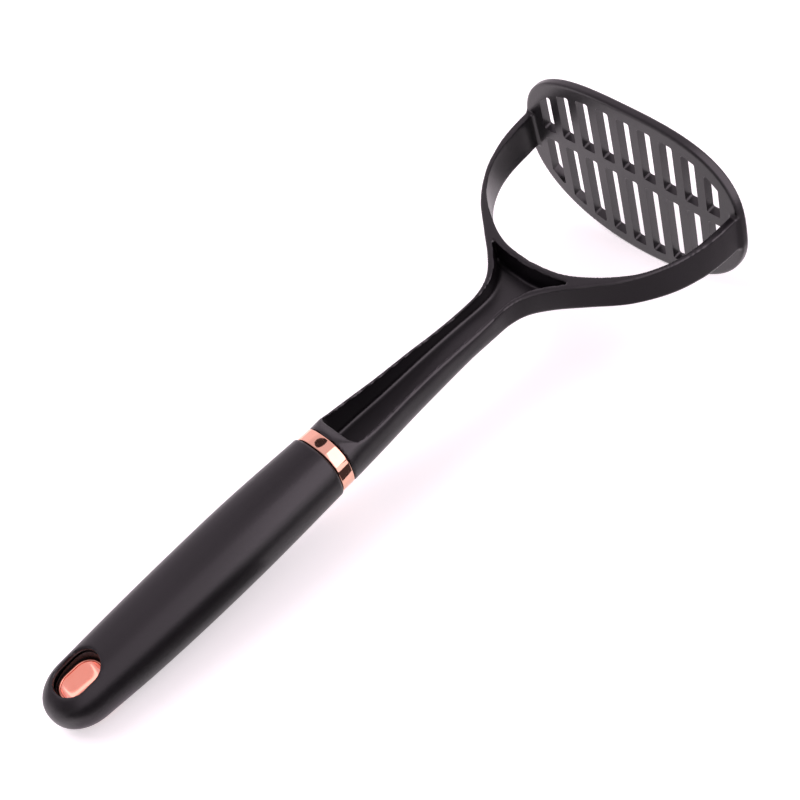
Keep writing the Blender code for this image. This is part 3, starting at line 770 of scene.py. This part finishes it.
# Cards that only show in reflections: name, glow, corners.
# White ones fill the gloss, and black flags cut into it.
roundFlag = {"centre": (0.075, 0.24, 0.45), "reach": (0.075, 0.06, -0.035), "corners": 12}


def roundCorners():  # a tilted ellipse above and behind the tool
    (x, y, z), (alongX, alongY, alongZ) = roundFlag["centre"], roundFlag["reach"]
    turns = [2 * math.pi * i / roundFlag["corners"] for i in range(roundFlag["corners"])]
    return [(x + alongX * math.cos(turn), y + alongY * math.sin(turn), z + alongZ * math.sin(turn))
            for turn in turns]


cards = [
    ("frontWhiteCard", 2.6, [(-0.04, -0.34, 0.0), (0.50, -0.34, 0.0), (0.46, -0.08, 0.50),
                             (0.00, -0.08, 0.50)]),
    ("frontPaleCard", 1.2, [(-0.34, -0.34, 0.0), (-0.04, -0.34, 0.0), (0.00, -0.08, 0.50),
                            (-0.30, -0.08, 0.50)]),
    ("collarFlag", 0.06, [(-0.06, -0.0265, 0.001), (0.05, -0.0265, 0.001), (0.05, -0.062, 0.001),
                          (-0.06, -0.062, 0.001)]),
    ("gripFlag", 0.02, [(-0.25, -0.015, 0.001), (-0.055, -0.019, 0.001), (-0.055, -0.24, 0.001),
                        (-0.25, -0.24, 0.001)]),
    ("hoopFlag", 0.34, [(0.045, -0.028, 0.001), (0.066, -0.024, 0.001), (0.093, -0.034, 0.001),
                        (0.102, -0.046, 0.001), (0.111, -0.056, 0.001), (0.13, -0.064, 0.001),
                        (0.30, -0.066, 0.001), (0.30, -0.30, 0.001), (0.045, -0.30, 0.001)]),
    ("holeGlint", 2.2, [(-0.1300, 0.0020, 0.0004), (-0.1235, 0.0018, 0.0004), (-0.1235, 0.0032, 0.0004),
                        (-0.1300, 0.0032, 0.0004)]),
    ("holeGlow", 0.95, [(-0.142, -0.016, 0.0003), (-0.116, -0.016, 0.0003), (-0.116, 0.0075, 0.0003),
                        (-0.142, 0.0075, 0.0003)]),
    ("roundFlag", 0.04, roundCorners()),
]


def makeTable():  # opal acrylic light table, lit a little from below
    half = studio["tableSize"] / 2
    mesh = bpy.data.meshes.new("studioTable")
    corners = [(-half, -half, 0), (half, -half, 0), (half, half, 0), (-half, half, 0)]
    mesh.from_pydata(corners, [], [(0, 1, 2, 3)])
    table = newPiece("studioTable", mesh)
    material, tree, out = newMaterial("opalAcrylicTable")[:3]
    shader = addNode(tree, "ShaderNodeBsdfPrincipled", {
        "Base Color": linearColour(studio["tableColour"]), "Roughness": 0.9,
        "Emission Color": linearColour(studio["tableGlowColour"]), "Emission Strength": studio["tableGlow"]})
    tree.links.new(shader.outputs[0], out.inputs["Surface"])
    mesh.materials.append(material)


def makeCard(name, glow, corners):
    mesh = bpy.data.meshes.new(name)
    mesh.from_pydata(corners, [], [tuple(range(len(corners)))])
    card = newPiece(name, mesh)
    material, tree, out = newMaterial(name + "Cloth")[:3]
    shader = addNode(tree, "ShaderNodeEmission", {"Color": (*studio["tint"], 1), "Strength": glow})
    tree.links.new(shader.outputs[0], out.inputs["Surface"])
    mesh.materials.append(material)
    card.visible_camera = card.visible_diffuse = card.visible_shadow = card.visible_transmission = False


def makeWorld():  # pale tent: brighter low at the back, dark low at the front
    world = bpy.data.worlds.new("studioAir")
    bpy.context.scene.world = world
    world.use_nodes = True
    tree = world.node_tree
    way = addNode(tree, "ShaderNodeTexCoord").outputs["Generated"]
    parts = addNode(tree, "ShaderNodeSeparateXYZ", None, {"Vector": way})
    ramps = {  # where each part of the tent starts and ends, and the glow that it starts from
        "atBack": ("Y", {"From Min": -0.1, "From Max": 0.3}),
        "lowDown": ("Z", {"From Min": 0.75, "From Max": 0.6}),
        "highUp": ("Z", {"From Min": 0.12, "From Max": 0.38}),
        "handleSide": ("X", {"From Min": -0.9, "From Max": -0.1, "To Min": studio["handleEnd"]}),
    }
    ramp = {}
    for name, (axis, settings) in ramps.items():
        node = addNode(tree, "ShaderNodeMapRange", {"interpolation_type": 'SMOOTHSTEP', **settings},
                       {"Value": parts.outputs[axis]})
        ramp[name] = node.outputs[0]
    wall = addNode(tree, "ShaderNodeMath", {"operation": 'MULTIPLY'}, {0: ramp["atBack"], 1: ramp["lowDown"]})
    wallGlow = addNode(tree, "ShaderNodeMapRange", {"To Min": studio["sky"], "To Max": studio["backWall"]},
                       {"Value": wall.outputs[0]})
    openAir = addNode(tree, "ShaderNodeMath", {"operation": 'MAXIMUM'},
                      {0: ramp["atBack"], 1: ramp["highUp"]})
    glow = addNode(tree, "ShaderNodeMath", {"operation": 'MULTIPLY'},
                   {0: wallGlow.outputs[0], 1: openAir.outputs[0]})
    faded = addNode(tree, "ShaderNodeMath", {"operation": 'MULTIPLY'},
                    {0: glow.outputs[0], 1: ramp["handleSide"]})
    total = addNode(tree, "ShaderNodeMath", {"operation": 'MAXIMUM', 1: studio["frontDark"]},
                    {0: faded.outputs[0]})
    # seen straight on, past the edge of the table, the tent is plain and pale all round
    seen = addNode(tree, "ShaderNodeLightPath").outputs["Is Camera Ray"]
    plain = addNode(tree, "ShaderNodeMix", {"data_type": 'FLOAT', 3: 1.0}, {0: seen, 2: total.outputs[0]})
    colour = addNode(tree, "ShaderNodeMix", {"data_type": 'RGBA', 6: (*studio["tint"], 1), 7: (1, 1, 1, 1)},
                     {0: seen})
    tree.links.new(colour.outputs[2], tree.nodes["Background"].inputs["Color"])
    tree.links.new(plain.outputs[0], tree.nodes["Background"].inputs["Strength"])


def makeKeyLight():
    lamp = bpy.data.lights.new("keySoftbox", 'AREA')
    lamp.size = studio["lampSize"]
    lamp.energy = studio["lampPower"]
    lamp.color = studio["tint"]
    keyLight = bpy.data.objects.new("keySoftbox", lamp)
    keyLight.location = studio["lampPlace"]
    keyLight.rotation_euler = (-keyLight.location).to_track_quat('-Z', 'Y').to_euler()
    keyLight.visible_glossy = False  # the cards and the tent make the reflections
    bpy.context.scene.collection.objects.link(keyLight)


def makeCamera():
    cameraData = bpy.data.cameras.new("viewCamera")
    cameraData.lens = studio["lens"]
    cameraData.sensor_width = studio["sensorWidth"]
    camera = bpy.data.objects.new("viewCamera", cameraData)
    bpy.context.scene.collection.objects.link(camera)
    look = (Vector(studio["cameraAim"]) - Vector(studio["cameraPlace"])).to_track_quat('-Z', 'Y')
    turn = look.to_matrix().to_4x4() @ Matrix.Rotation(math.radians(studio["cameraRoll"]), 4, 'Z')
    camera.matrix_world = Matrix.Translation(studio["cameraPlace"]) @ turn
    bpy.context.scene.camera = camera


makeTable()
makeWorld()
makeKeyLight()
for name, glow, corners in cards:
    makeCard(name, glow, corners)
makeCamera()
bpy.context.scene.view_settings.view_transform = 'Standard'
print("studio ready")

bpy.context.view_layer.update()
